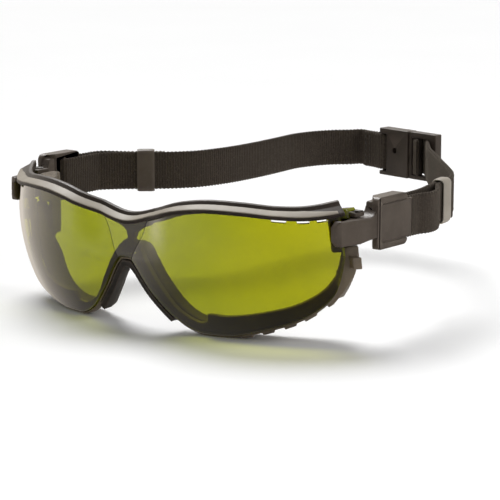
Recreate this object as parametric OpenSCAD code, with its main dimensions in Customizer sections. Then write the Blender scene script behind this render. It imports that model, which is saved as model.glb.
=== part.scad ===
// Welding goggles: a wrap-round tinted lens in a moulded frame, with a face seal and an elastic head strap.
// Millimetres. +X is the wearer's left, +Y points to the back of the head and +Z is up.
// Inside the modules, heights start at the rest plane and depths at the front of the lens.
// placed() then moves everything so that the saddle of the nose bridge is the origin.

/* [Lens] */
// Radius of each spherical dome of the lens
lens_r = 66; // [64:0.5:68]
// Distance of each dome's axis from the middle of the face
dome_x = 18; // [17:0.5:19]
// Forward tilt of the lens, in degrees
lens_tilt = 8.75; // [7:0.25:10]
// Thickness of the lens
lens_t = 2.2; // [1.8:0.1:2.3]
// Length along the lens from the middle to each temple edge
lens_half = 82.5; // [81:0.5:83]

/* [Brow] */
// How far the lower lip of the brow stands out in front of the lens
lip_out = 1.3; // [0.8:0.1:1.8]
// Height of the brow bar
brow_h = 4; // [3.6:0.1:4.6]
// Length along the lens from the middle to each end of the brow bar
brow_half = 84; // [83.5:0.5:86]

/* [Seal] */
// Thickness of the seal carrier behind the lens
carrier_t = 2; // [1.6:0.1:2.4]
// Depth of the foam at the nose
foam_nose = 6; // [5:0.5:8]
// Depth of the foam at the temples
foam_temple = 11; // [9:0.5:12]

/* [Strap] */
// Width of the elastic strap
strap_w = 14; // [13:0.5:14.5]
// Thickness of the elastic strap
strap_t = 1.5; // [1.2:0.1:1.6]
// Length of each keeper along the strap
keeper_len = 6.5; // [5:0.5:7.5]

/* [Clips] */
// Height of the strap clip's paddle
paddle_h = 17.6; // [17.2:0.2:19]
// Radius of the hinge pin
pin_r = 1.2; // [1:0.1:1.3]
// Radius of the bar that the strap goes round
bar_r = 1.1; // [0.9:0.1:1.2]

/* [Buckle] */
// Height of the rear buckle
buckle_h = 18.6; // [18:0.2:20]
// Length of the buckle's socket along the strap
socket_len = 15.5; // [15:0.5:17]
// Length of the plug outside the socket
plug_len = 14.3; // [13.5:0.1:16]
// Angle of the buckle to the width of the face, in degrees
buckle_turn = -10; // [-12:1:-8]

/* [Hidden] */

$fn = 48;
// Gap between pieces that only touch
gap = 0.15;
// Radial running clearance of the hinges
run = 0.05;

// Middle of the nose bridge's saddle: this point is the part's origin
seat_y = 6.8;
seat_z = 20.8;

dome_z = 26.7;
bridge_dip = 3;
arc_0 = lens_r * asin(dome_x / lens_r) * PI / 180;
carrier_front = -lens_t - 0.25;
carrier_back = carrier_front - carrier_t;

// Lower edge of the brow bar and of the lens, as [length along the lens, height]
brow_line = [[0, 36], [12.9, 39], [24.4, 42.1], [35.6, 43.5], [48.5, 43.3],
    [60.4, 42.3], [70, 41.85], [79.8, 42.55], [90, 44.2]];
lens_line = [[0, 24.9], [3.2, 24], [10.8, 13.3], [19.4, 4.6], [28, 0.95], [38.8, 0.95],
    [53.9, 4.2], [66, 8.1], [74, 12.7], [78.5, 17.3], [81, 23.8], [lens_half, 29.5]];
// Outer edge of the flange that carries the seal round the temple
flange_line = [[76, 11.5], [81.2, 15.9], [85.2, 21], [87.2, 24.1], [88.6, 28.8]];
flange_half = 88.6;
flange_top = 32.4;
// Height of the carrier's lower band and of the foam above the lens's edge, as [length, height]
band_line = [[0, 5.8], [5, 5.2], [8.6, 5.6], [12.5, 4.6], [17.2, 2.8], [27, 3.2], [30.5, 4.4], [31.5, 7.3],
    [41, 6.8], [53, 6], [61.4, 5.4], [69.6, 4.9], [78.2, 4], [81, 0.8], [lens_half, 0.6]];
pad_line = [[0, 4.4], [8.6, 4.6], [12.5, 3.8], [17.2, 3], [31, 3.6], [45, 2.8], [53, 2.2],
    [61, 3], [70, 3.8], [79, 3.4], [81, 2.6], [lens_half, 2.5]];
// Furthest back that the foam reaches at the temples
foam_rear = 38.5;
// Lower edge of the pillar behind the bridge
waist = [[0, 27.8], [0.75, 28], [1.5, 31.8], [2.25, 33.2], [3.75, 34.4], [5.25, 35.1], [7.5, 35.9]];

// Gaps between brow and lens that let air in, as [from, to] along the lens
vents = [[58.6, 64.3], [67.2, 72.2], [74, 78.5]];
// Middle of each vent bump under the rim
bumps = [45.6, 53.9, 62.2, 69.7];

pivot = [72.5, 33];
knuckle_r = 2;
arm_low = 33.4;
arm_high = 41.9;
paddle_low = 30.1;
paddle_front = 41;
paddle_rear = 58.4;
paddle_in = 71.2;
paddle_out = 76.4;
strap_low = 31.6;
strap_high = strap_low + strap_w;
bar_at = [72.1, 50];
bend_r = bar_r + 0.15 + strap_t / 2;
strap_split = 66.3;

buckle_at = [-16, 176];
buckle_low = 29.5;
socket_bar = 1.6;
plug_bar = 19.8;

near_line = [[70, 67.4], [69.2, 76], [66.8, 86], [65.2, 94], [63.2, 103], [58.5, 112],
    [50.5, 121.5], [40, 133], [30, 144], [19.6, 155.4], [9.4, 166.4]];
far_line = [[-70, 67.4], [-66.5, 72], [-61, 77.3], [-55, 82.4], [-49.5, 88], [-45, 95],
    [-42.8, 103], [-41.5, 112], [-41.2, 125], [-42, 140], [-43, 153], [-41, 163],
    [-37.5, 170.2], [-32.2, 175.6], [-24.6, 177.7]];
// Middle and direction of each keeper
keeper_near = [65.95, 94.1];
near_turn = 101.5;
keeper_far = [-58.3, 80.75];
far_turn = 40;
// Each strap's free tail bulges out of the clip and then lies flat in the keeper
near_tail = concat([[74.2, 67.4], [75.6, 73], [74, 79.5], [69.9, 85.6]],
    [for (l = [-5.8, 0, 7]) beside(keeper_near, near_turn, l, -0.86)]);
far_tail = concat([[-74.2, 67.4], [-73.2, 71.6], [-69.6, 74.2]],
    [for (l = [-6.2, 0, 7]) beside(keeper_far, far_turn, l, 0.9)]);

// Point l along and w across a direction turned by an angle
function beside(at, turn, l, w) = at + l * [cos(turn), sin(turn)] + w * [-sin(turn), cos(turn)];

function lerp(a, b, t) = a + (b - a) * t;
function clamp(v, low, high) = min(max(v, low), high);
function unit(v) = v / norm(v);

// Index of the knot before x in a table of [x, y] knots
function knot(table, x, i = 0) =
    i >= len(table) - 2 || x < table[i + 1][0] ? i : knot(table, x, i + 1);
function slope(table, i) =
    i == 0 ? 0
    : i == len(table) - 1 ? (table[i][1] - table[i - 1][1]) / (table[i][0] - table[i - 1][0])
    : (table[i + 1][1] - table[i - 1][1]) / (table[i + 1][0] - table[i - 1][0]);
// Smooth height through the knots, the same on both sides of the face
function height(table, s) =
    let (x = min(abs(s), table[len(table) - 1][0]), i = knot(table, x),
        a = table[i], b = table[i + 1], w = b[0] - a[0], t = (x - a[0]) / w)
    a[1] * (1 + 2 * t) * pow(1 - t, 2) + b[1] * t * t * (3 - 2 * t)
    + slope(table, i) * w * t * pow(1 - t, 2) - slope(table, i + 1) * w * t * t * (1 - t);
function steep(table, s) = (height(table, abs(s) + 0.2) - height(table, max(0, abs(s) - 0.2))) / 0.4;
// Height that is one millimetre when measured square to the lens's lower edge
function slanted(s) = sqrt(1 + pow(steep(lens_line, s), 2));

function brow_low(s) = height(brow_line, s);
function lens_low(s) = max(0.9, height(lens_line, s));

// Half-width of the flat bridge between the two domes, at height z
function crease(z) = 3 + 0.44 * max(0, z - 24);
function eased(t) = let (c = clamp(t, 0, 1)) c * c * (3 - 2 * c);
// How far the bridge, and the domes beside it, lean back behind the two spheres
function dip(s, z) = bridge_dip * eased((z - 24) / 11) * (1 - eased((abs(s) - 9) / 13));
function dome_point(s, z, n) =
    let (turn = (s - arc_0) / lens_r * 180 / PI,
        r = sqrt(pow(lens_r, 2) - pow(z - dome_z, 2)) + n - dip(s, z))
    [dome_x + r * sin(turn), lens_r - r * cos(turn)];
// Point at length s along the lens, height z and distance n in front of the lens's outer face
function face(s, z, n) =
    let (side = s < 0 ? -1 : 1, a = abs(s), edge = crease(z), p = dome_point(max(a, edge), z, n),
        x = a < edge ? p[0] * a / edge : p[0])
    [side * x, p[1] - tan(lens_tilt) * (z - dome_z), z];

// Smooth curve through plan points, with five steps between neighbours
function bend(p, i, t) =
    let (a = p[max(i - 1, 0)], b = p[i], c = p[i + 1], d = p[min(i + 2, len(p) - 1)])
    0.5 * (2 * b + (c - a) * t + (2 * a - 5 * b + 4 * c - d) * t * t
    + (3 * b - a - 3 * c + d) * t * t * t);
function curve(p) = concat([for (i = [0 : len(p) - 2], k = [0 : 4]) bend(p, i, k / 5)], [p[len(p) - 1]]);
function side_of(p, i) =
    let (d = unit(p[min(i + 1, len(p) - 1)] - p[max(i - 1, 0)])) [-d[1], d[0]];
function arc_points(c, r, from, to, steps) =
    [for (k = [0 : steps]) c + r * [cos(lerp(from, to, k / steps)), sin(lerp(from, to, k / steps))]];
function rounded(low, high, r) = concat(
    arc_points([high[0] - r, high[1] - r], r, 0, 90, 5), arc_points([low[0] + r, high[1] - r], r, 90, 180, 5),
    arc_points([low[0] + r, low[1] + r], r, 180, 270, 5), arc_points([high[0] - r, low[1] + r], r, 270, 360, 5));

module placed() translate([0, -seat_y, -seat_z]) children();

module other_side() mirror([1, 0, 0]) children();

// Solid skin over equal rings of points, with flat ends
module skin(rings) {
    m = len(rings[0]);
    last = len(rings) - 1;
    sides = [for (i = [0 : last - 1], j = [0 : m - 1])
        let (a = i * m + j, b = i * m + (j + 1) % m) each [[a, b, b + m], [a, b + m, a + m]]];
    ends = [[for (j = [m - 1 : -1 : 0]) j], [for (j = [0 : m - 1]) last * m + j]];
    polyhedron([for (r = rings) each r], concat(sides, ends), convexity = 8);
}

// Curved plate between two heights and two depths, which are functions of the length along the lens
module plate(stations, low, high, front, back, rows = 4) {
    skin([for (s = stations)
        [for (k = [0 : 2 * rows + 1])
            let (up = k <= rows, t = up ? k / rows : (2 * rows + 1 - k) / rows)
            face(s, lerp(low(s), high(s), t), up ? front(s) : back(s))]]);
}

// Joins faceted solids into one skin
module joined() resize([0, 0, 0]) union() children();

module flat_strip(line, thick, low, high) {
    top = [for (i = [0 : len(line) - 1]) line[i] + side_of(line, i) * thick / 2];
    under = [for (i = [len(line) - 1 : -1 : 0]) line[i] - side_of(line, i) * thick / 2];
    translate([0, 0, low]) linear_extrude(high - low) polygon(concat(top, under));
}

// Solid whose outline is in the Y-Z plane, between two X values
module side_cut(from, to, outline)
    translate([from, 0, 0]) rotate([90, 0, 90]) linear_extrude(to - from) polygon(outline);

function spaced(from, to, step) =
    let (count = ceil((to - from) / step)) [for (i = [0 : count]) lerp(from, to, i / count)];

function in_vent(s) = len([for (v = vents) if (abs(s) > v[0] && abs(s) < v[1]) 1]) > 0;
vent_step = 0.3;
lens_right = concat(spaced(0, 20, 1.6), spaced(22, 56, 3),
    [for (v = vents) each [v[0], v[0] + vent_step, (v[0] + v[1]) / 2, v[1] - vent_step, v[1]]],
    [79.5, 80.6, 81.5, lens_half]);
lens_stations = concat([for (i = [len(lens_right) - 1 : -1 : 1]) -lens_right[i]], lens_right);

// Small tab at each temple edge that hooks under the lug
module lens_tab()
    plate([81.9, 83.6, 85.9], function (s) arm_high + 0.25, function (s) arm_high + 1.45,
        function (s) -0.3, function (s) 0.3 - lens_t, 1);

module lens() {
    color([0.55, 0.62, 0.1, 0.6]) placed() joined() {
        plate(lens_stations, function (s) lens_low(s),
            function (s) brow_low(s) + (in_vent(s) ? -0.9 : 1), function (s) 0, function (s) -lens_t, 12);
        lens_tab();
        other_side() lens_tab();
    }
}

function brow_rise(s) = 0.6 * clamp((abs(s) - 60) / 20, 0, 1);
function brow_ring(s) =
    let (k = brow_h / 4, rise = brow_rise(s))
    [for (p = [[lip_out, gap], [lip_out + 0.1, 1.35 * k], [-1.7, 2.6 * k + rise], [-2.3, 3.85 * k + rise],
        [-3.6, brow_h + rise], [-4.2, 3 * k], [-4.2, gap], [-lens_t - gap, gap], [-lens_t - gap, 1.2],
        [gap, 1.2], [gap, gap]])
        face(s, brow_low(s) + p[1], p[0])];

module brow_frame() {
    color([0.22, 0.2, 0.18]) placed()
        skin([for (s = spaced(-brow_half, brow_half, 3)) brow_ring(s)]);
}

// Thin inlay that lies on the sloping shelf of the brow, whose height at depth n is shelf()
function shelf(s, n) =
    1.35 * brow_h / 4 + (lip_out + 0.1 - n) / (lip_out + 1.8) * (1.25 * brow_h / 4 + brow_rise(s));
function inlay_ring(s) =
    let (back = -0.8 - 0.7 * (0.3 + 0.25 * clamp((abs(s) - 10) / 40, 0, 1)))
    [for (p = [[lip_out - 0.2, 0.1], [lip_out - 0.1, 0.5], [back, 0.6], [back, 0.3]])
        face(s, brow_low(s) + shelf(s, p[0]) + p[1], p[0])];

module brow_inlay() {
    color([0.66, 0.64, 0.6]) placed()
        skin([for (s = spaced(3 - brow_half, brow_half - 3, 3)) inlay_ring(s)]);
}

// Top of the carrier where it lies under the lens's edge, and beyond the lens
band_top = function (s)
    abs(s) > lens_half ? flange_top : min(flange_top, lens_low(s) + lookup(abs(s), band_line));

module seal_carrier() {
    // each plate sits a little deeper than the one before, so that no two faces coincide
    near = [for (k = [0 : 4]) function (s) carrier_front - 0.06 * k];
    far = [for (k = [0 : 4]) function (s) carrier_back + 0.06 * k];
    color([0.33, 0.3, 0.27]) placed() joined() difference() {
        seal_plates(near, far);
        arch_slot(7.4);
    }
}

// Slot in the top of the nose arch, cut back to a depth
module arch_slot(depth)
    translate([0, depth, 0]) rotate([90, 0, 0]) linear_extrude(depth - 2.4)
        polygon([[-3, 25.7], [-2.6, 27.1], [-1.4, 28.1], [1.4, 28.1], [2.6, 27.1], [3, 25.7]]);

module seal_plates(near, far) {
    brow_near = function (s) -4.35;
    brow_far = function (s) -6;
    union() {
        // lower band, brow band and the rim that the lens sits in
        plate(concat(spaced(-81.9, -31.5, 2.1), spaced(-30.5, 30.5, 2.1), spaced(31.5, 81.9, 2.1)),
            function (s) max(0.3, lens_low(s) - 0.5 * slanted(s)), band_top, near[0], far[0]);
        plate(spaced(-78, 78, 3), function (s) brow_low(s) - 0.8, function (s) brow_low(s) + 0.9,
            brow_near, brow_far, 1);
        plate(spaced(-80, 80, 2),
            function (s) max(0, lens_low(s) - 0.95 - 0.2 * abs(steep(lens_line, s))),
            function (s) lens_low(s) - (gap + 0.1) * slanted(s),
            function (s) -0.8, function (s) carrier_back + 0.3, 1);
        // pillar behind the bridge of the lens
        plate(spaced(-7.5, 7.5, 0.75), function (s) lookup(abs(s), waist), function (s) brow_low(s) - gap,
            near[2], function (s) -4.5, 2);
        temple_seal(near, far);
        other_side() temple_seal(near, far);
    }
}

// Temple post, the flange outside the lens with its peg, and the vent bumps of one side
module temple_seal(near, far) {
    plate([79.2, 80.6, 82.1], function (s) 30.6, function (s) brow_low(s) - gap, near[3], function (s) -5, 3);
    plate([79.3, 81.6, 84.4], function (s) 30.7, function (s) flange_top - 0.1, near[4], far[4], 1);
    plate(spaced(76.2, flange_half, 2.1), function (s) height(flange_line, s), band_top, near[1], far[1], 4);
    plate([84.7, 87.8], function (s) 25.2, function (s) 29.2, function (s) 0.9, function (s) far[2](s), 1);
    for (b = bumps)
        plate([b - 2.2, b + 2.2], function (s) max(0, lens_low(s) - 2), function (s) lens_low(s) - 0.5,
            function (s) -1.4, function (s) carrier_back + 0.5, 1);
}

// Foam layer between two heights that starts behind the carrier and runs straight back
module foam_layer(stations, low, high, front, depth, rows = 3) {
    skin([for (s = stations)
        [for (k = [0 : 2 * rows + 1])
            let (up = k <= rows, t = up ? k / rows : (2 * rows + 1 - k) / rows,
                p = face(s, lerp(low(s), high(s), t), front))
            up ? p : [p[0], min(p[1] + depth(s), max(foam_rear, p[1] + 1)), p[2]]]]);
}
function foam_depth(s) = lerp(foam_nose, foam_temple, clamp((abs(s) - 20) / 50, 0, 1));
foam_top = function (s)
    abs(s) > lens_half ? flange_top - 0.4 : min(flange_top - 0.4, lens_low(s) + lookup(abs(s), pad_line));

module face_foam() {
    // each layer is a little thinner than the one before, so that no two faces coincide
    front = [for (k = [0 : 1]) carrier_back - 0.25 - 0.2 * k];
    depth = [for (k = [0 : 1]) function (s) foam_depth(s) - 0.5 * k];
    brow_depth = function (s) lerp(2.5, foam_temple - 0.7, clamp((abs(s) - 48) / 25, 0, 1));
    color([0.4, 0.37, 0.32]) placed() joined() difference() {
        union() {
            foam_layer(spaced(-80, 80, 2.5), function (s) lens_low(s) + 0.4, foam_top, front[0], depth[0]);
            foam_layer(spaced(-81, 81, 4.5), function (s) brow_low(s) - 1, function (s) brow_low(s) + 0.8,
                -6.2, brow_depth, 1);
            temple_foam(front, depth);
            other_side() temple_foam(front, depth);
        }
        arch_slot(10);
    }
}

// Foam behind the flange, and the wall that joins it to the layer under the brow
module temple_foam(front, depth) {
    foam_layer(spaced(77.5, 87.4, 2), function (s) height(flange_line, s) + 0.7, foam_top, front[1], depth[1]);
    translate([64.6, 36, 20]) cube([2.4, 5.3, 13.3]);
    translate([64.8, 30.4, 32.6]) cube([2.2, 10.7, 10]);
}

pad_half = 17.5;
pad_depth = 9;

// The pad follows the nose arch, so its rings are turned along the edge of the lens
function pad_ring(s) =
    let (d = unit([1, steep(lens_line, s) * (s < 0 ? -1 : 1)]), out = [d[1], -d[0]], p = [s, lens_low(s)],
        flare = 1.4 * clamp(abs(s) / 8, 0, 1))
    [for (q = [[1.35, -0.4], [3.6, -0.4], [4.1 - flare / 2, -pad_depth / 2], [3.6 - flare, -pad_depth],
        [2.3 - flare, -pad_depth], [1.35, 1.3 - pad_depth]])
        let (c = p + out * q[0]) face(c[0], c[1], q[1])];

module nose_pad() {
    color([0.13, 0.12, 0.12]) placed()
        skin([for (s = spaced(-pad_half, pad_half, 1)) pad_ring(s)]);
}

module temple_lug() {
    placed() difference() {
        union() {
            // knuckle between the clip's two ears
            translate([pivot[0], pivot[1], arm_low + 2.7]) cylinder(r = knuckle_r, h = 3.1);
            translate([67.2, pivot[1] - knuckle_r, arm_low + 2.7]) cube([5.3, 2 * knuckle_r, 3.1]);
            // block behind the end of the brow bar
            translate([67.2, 31.3, arm_low + 1]) cube([1.4, 5.7, arm_high + 1 - arm_low]);
            translate([67.2, 32.4, arm_high + 0.2]) cube([6.4, 5, 1.5]);
            // ratchet ridges
            for (i = [0 : 1])
                translate([69.4, 35.5 + i * 1.2, arm_high + 1.7]) rotate([0, 90, 0])
                    cylinder(r = 0.45, h = 4);
        }
        translate([pivot[0], pivot[1], arm_low]) cylinder(r = pin_r + run, h = arm_high - arm_low);
    }
}
module temple_lug_left() { color([0.2, 0.18, 0.17]) temple_lug(); }
module temple_lug_right() { color([0.2, 0.18, 0.17]) other_side() temple_lug(); }

module hinge_pin() {
    placed() translate([pivot[0], pivot[1], arm_low + 0.4])
        cylinder(r = pin_r, h = arm_high - arm_low - 0.8);
}
module hinge_pin_left() { color([0.6, 0.6, 0.6]) hinge_pin(); }
module hinge_pin_right() { color([0.6, 0.6, 0.6]) other_side() hinge_pin(); }

module strap_clip() {
    paddle_high = paddle_low + paddle_h;
    tunnel = [strap_low - 0.2, strap_high + 0.2];
    placed() {
        difference() {
            union() {
                // arm, bevelled at its front end and flared up into the paddle
                intersection() {
                    translate([0, 0, arm_low]) linear_extrude(13)
                        polygon([[70.7, 22.6], [72.1, 22.6], [73.8, 24.6], [75.2, 32], [paddle_out, 41.6],
                            [paddle_out, 43], [paddle_in, 44.6], [paddle_in, 42], [70.6, 38], [70, 33],
                            [72.4, 30.4], [72.7, 28.4], [70.9, 24.6]]);
                    side_cut(68, 78, [[22.4, 35.6], [24.4, arm_low], [33, arm_low], [42, 34.6], [45, 34.6],
                        [45, 46.2], [41.7, 46.2], [41.3, 44.8], [40.7, 43.4], [39.6, 42.3], [38, 41.6],
                        [33, arm_high], [24.4, arm_high], [22.4, 39.8]]);
                }
                translate([pivot[0], pivot[1], arm_low]) cylinder(r = 2.6, h = arm_high - arm_low);
                // paddle, with a plate that reaches further back than its rails
                difference() {
                    side_cut(paddle_in, paddle_out,
                        rounded([paddle_front, paddle_low], [paddle_rear, paddle_high], 2.2));
                    translate([0, 0, paddle_low - 1]) linear_extrude(paddle_h + 2)
                        polygon([[paddle_in - 1, 40], [paddle_out - 1.9, 40], [paddle_out - 1.9, 41],
                            [paddle_in, 45.2], [paddle_in - 1, 45.2]]);
                }
                side_cut(paddle_out - 1.3, paddle_out - 0.2, [[46, 32.2], [61.3, 32.2], [61.3, 45.4], [46, 45.4]]);
            }
            // the plate lies a little lower than the rails round it
            translate([paddle_out - 0.3, 43.1, 32.6]) cube([1, 20, 12.5]);
            // tunnel for the strap, open at the back
            translate([bar_at[0] - bend_r - strap_t / 2 - 0.2, bar_at[1] - 4, tunnel[0]])
                cube([2 * bend_r + strap_t + 0.4, 20, tunnel[1] - tunnel[0]]);
            // grooves between the rails and the plate
            for (z = [32.2, 45])
                translate([paddle_out - 0.6, 44, z]) cube([1, 16, 0.5]);
            // slot for the lug's knuckle, and the pin's bore
            translate([pivot[0], pivot[1], arm_low + 2.5]) cylinder(r = knuckle_r + 0.2, h = 3.5);
            translate([pivot[0] - 6, pivot[1] - knuckle_r - 0.6, arm_low + 2.5])
                cube([6, 2 * knuckle_r + 3.6, 3.5]);
            translate([pivot[0], pivot[1], arm_low - 1]) cylinder(r = pin_r + run, h = 12);
        }
        translate([bar_at[0], bar_at[1], tunnel[0] - 0.1]) cylinder(r = bar_r, h = tunnel[1] - tunnel[0] + 0.2);
    }
}
module strap_clip_left() { color([0.36, 0.34, 0.32]) strap_clip(); }
module strap_clip_right() { color([0.36, 0.34, 0.32]) other_side() strap_clip(); }

// End of the strap, folded round the clip's bar
module strap_end() {
    line = concat([[bar_at[0] - bend_r, strap_split], [bar_at[0] - bend_r, 58]],
        arc_points(bar_at, bend_r, 180, 360, 16), [[bar_at[0] + bend_r, 58], [bar_at[0] + bend_r, strap_split]]);
    placed() flat_strip(line, strap_t, strap_low, strap_high);
}
module strap_end_left() { color([0.24, 0.22, 0.2]) strap_end(); }
module strap_end_right() { color([0.24, 0.22, 0.2]) other_side() strap_end(); }

module strap_short() {
    color([0.24, 0.22, 0.2]) placed() flat_strip(curve(near_line), strap_t, strap_low, strap_high);
}
module strap_short_tail() {
    color([0.24, 0.22, 0.2]) placed() flat_strip(curve(near_tail), strap_t, strap_low, strap_high);
}
// Sewn fold of the long strap, which holds the socket's bar
module sewn_fold() {
    outer = strap_t + 0.9;
    end = socket_bar + 0.1;
    translate([0, 0, strap_low - buckle_low]) linear_extrude(strap_w) difference() {
        polygon([[-10, -strap_t], [-5, -strap_t], [-1, -outer], [end, -outer], [end + strap_t, -1.2],
            [end + strap_t, 1.2], [end, outer], [-1, outer], [-5, strap_t], [-10, strap_t]]);
        polygon([[-4, 0], [-1, -0.9], [end, -0.9], [end, 0.9], [-1, 0.9]]);
    }
}

module strap_long() {
    color([0.24, 0.22, 0.2]) {
        placed() flat_strip(curve(far_line), strap_t, strap_low, strap_high);
        at_buckle() sewn_fold();
    }
}
module strap_long_tail() {
    color([0.24, 0.22, 0.2]) placed() flat_strip(curve(far_tail), strap_t, strap_low, strap_high);
}

module keeper(at, turn) {
    opening = 2 * strap_t + 0.55;
    placed() translate([at[0], at[1], strap_low]) rotate([0, 0, turn]) difference() {
        translate([-keeper_len / 2, -opening / 2 - 0.8, -1]) cube([keeper_len, opening + 1.6, strap_w + 2]);
        translate([-keeper_len, -opening / 2, -0.2]) cube([2 * keeper_len, opening, strap_w + 0.4]);
    }
}
module keeper_left() { color([0.62, 0.6, 0.55]) keeper(keeper_near, near_turn); }
module keeper_right() { color([0.4, 0.38, 0.36]) keeper(keeper_far, far_turn); }

module at_buckle()
    placed() translate([buckle_at[0], buckle_at[1], buckle_low]) rotate([0, 0, buckle_turn]) children();

module box(low, high) translate(low) cube(high - low);

module buckle_socket() {
    color([0.24, 0.22, 0.21]) at_buckle() difference() {
        box([0, -2.6, 0], [socket_len, 2.6, buckle_h]);
        // window beside the strap bar, and room for the strap over the bar
        box([socket_bar, -4, 1.6], [socket_bar + 2.2, 4, buckle_h - 2.2]);
        box([-1, -4, 1.6], [socket_bar + 1, -0.8, buckle_h - 2.2]);
        box([-1, 0.8, 1.6], [socket_bar + 1, 4, buckle_h - 2.2]);
        // pocket for the plug's tongue, and the catch hole
        box([5, -1.1, 4], [socket_len + 1, 1.1, buckle_h - 4]);
        translate([8.5, 0, buckle_h / 2 + 1]) rotate([90, 0, 0]) cylinder(r = 1.15, h = 4);
    }
}

module buckle_plug() {
    window = [socket_len + 1.5, socket_len + 10];
    color([0.24, 0.22, 0.21]) at_buckle() {
        difference() {
            box([socket_len + 0.2, -1.8, 0], [socket_len + plug_len, 1.8, buckle_h]);
            box([window[0], -4, 1.6], [window[1], 4, buckle_h - 2.2]);
        }
        box([5.5, -1, 4.2], [socket_len + 0.6, 1, buckle_h - 4.2]);
        translate([plug_bar, 0, 1]) cylinder(r = bar_r, h = buckle_h - 2);
    }
}

// End of the short strap round the plug's bar
module strap_buckle_end() {
    lead = -37;
    reach = 5;
    color([0.24, 0.22, 0.2]) at_buckle() translate([plug_bar, 0, strap_low - buckle_low]) {
        difference() {
            union() {
                cylinder(r = bend_r + strap_t / 2, h = strap_w);
                rotate([0, 0, lead]) box([bend_r, -strap_t / 2, 0], [reach, strap_t / 2, strap_w]);
            }
            translate([0, 0, -1]) cylinder(r = bar_r + 0.15, h = strap_w + 2);
        }
    }
}

// Two rows of stitches on each face of the sewn fold
module strap_stitching() {
    thread = 0.25;
    color([0.3, 0.28, 0.25]) at_buckle()
        for (l = [-8.6, -6.4], side = [-1, 1], k = [0 : 4])
            translate([l, side * (strap_t + 0.03 + thread / 2), strap_low - buckle_low + 1.2 + 2.5 * k])
                translate([-thread / 2, -thread / 2, 0]) cube([thread, thread, 1.7]);
}

lens();
brow_frame();
brow_inlay();
seal_carrier();
face_foam();
nose_pad();
temple_lug_left();
temple_lug_right();
hinge_pin_left();
hinge_pin_right();
strap_clip_left();
strap_clip_right();
strap_end_left();
strap_end_right();
strap_short();
strap_short_tail();
strap_long();
strap_long_tail();
strap_buckle_end();
strap_stitching();
keeper_left();
keeper_right();
buckle_socket();
buckle_plug();
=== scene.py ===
import math

import bmesh
import bpy
import numpy as np
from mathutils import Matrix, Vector


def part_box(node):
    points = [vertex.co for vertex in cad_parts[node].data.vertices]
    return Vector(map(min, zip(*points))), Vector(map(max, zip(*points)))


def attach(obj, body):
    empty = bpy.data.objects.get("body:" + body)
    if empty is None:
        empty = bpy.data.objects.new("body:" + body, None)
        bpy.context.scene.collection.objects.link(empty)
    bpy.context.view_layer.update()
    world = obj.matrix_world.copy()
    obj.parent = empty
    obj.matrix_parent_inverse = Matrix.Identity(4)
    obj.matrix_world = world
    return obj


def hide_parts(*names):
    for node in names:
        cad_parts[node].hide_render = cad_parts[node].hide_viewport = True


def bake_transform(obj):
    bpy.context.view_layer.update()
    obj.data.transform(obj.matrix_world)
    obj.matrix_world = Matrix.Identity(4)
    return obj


# Welding goggles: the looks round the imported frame. Shapes are computed in millimetres in the design's own
# coordinates (heights from the rest plane, depths from the front of the lens), and place() turns them into
# the frame's metres. The frame's origin is the saddle of the nose bridge.

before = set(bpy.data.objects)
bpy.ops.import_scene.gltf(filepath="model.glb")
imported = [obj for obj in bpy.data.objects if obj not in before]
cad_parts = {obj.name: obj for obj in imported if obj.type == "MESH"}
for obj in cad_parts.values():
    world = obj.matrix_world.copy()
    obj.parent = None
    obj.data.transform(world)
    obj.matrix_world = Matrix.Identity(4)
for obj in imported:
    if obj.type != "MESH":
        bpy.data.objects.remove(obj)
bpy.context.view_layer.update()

MM = 0.001
SEAT_Y = 6.8
SEAT_Z = -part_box("seal_carrier")[0].z / MM

# ---------------------------------------------------------------- design values, in millimetres

# Each half of the lens is a dome of radius LENS_R about an axis at (DOME_X, DOME_Z)
LENS_R = 66.0
DOME_X = 18.0
DOME_Z = 26.7
LENS_TILT = math.radians(8.75)
LENS_T = 2.2
LENS_HALF = 82.5
# How far the bridge leans back behind the domes, and how far pieces that touch are kept apart
BRIDGE_DIP = 3.0
GAP = 0.15
# Length along the lens from the middle of the face to a dome's axis
ARC_0 = LENS_R * math.asin(DOME_X / LENS_R)

# Lower edge of the brow bar and of the lens, as (length along the lens, height)
BROW_LINE = [(0, 36), (12.9, 39), (24.4, 42.1), (35.6, 43.5), (48.5, 43.3),
             (60.4, 42.3), (70, 41.85), (79.8, 42.55), (90, 44.2)]
LENS_LINE = [(0, 24.9), (3.2, 24), (10.8, 13.3), (19.4, 4.6), (28, 0.95), (38.8, 0.95),
             (53.9, 4.2), (66, 8.1), (74, 12.7), (78.5, 17.3), (81, 23.8), (82.5, 29.5)]
# Openings between brow and lens that let air in, as (from, to) along the lens
VENTS = [(58.6, 64.3), (67.2, 72.2), (74, 78.5)]

# Height and half-length of the brow bar, and how far its lip stands in front of the lens
BROW_H = 4.0
BROW_HALF = 84.0
LIP_OUT = 1.3

# Elastic: width, thickness, lower edge, the clip's bar that it turns round, and the spacing of its ribs
STRAP_W = 14.0
STRAP_T = 1.5
STRAP_LOW = 31.6
BAR_AT = (72.1, 50.0)
BEND_R = 2.0
RIB = 1.0

# Keepers: length, then the (middle, direction in degrees) of each
KEEPER_LEN = 6.5
KEEPER_NEAR = ((65.95, 94.1), 101.5)
KEEPER_FAR = ((-58.3, 80.75), 40.0)
# Buckle: middle, direction, and the distance along it of the bar in its plug
BUCKLE_AT = (-16.0, 176.0)
BUCKLE_TURN = -10.0
PLUG_BAR = 19.8

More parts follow.
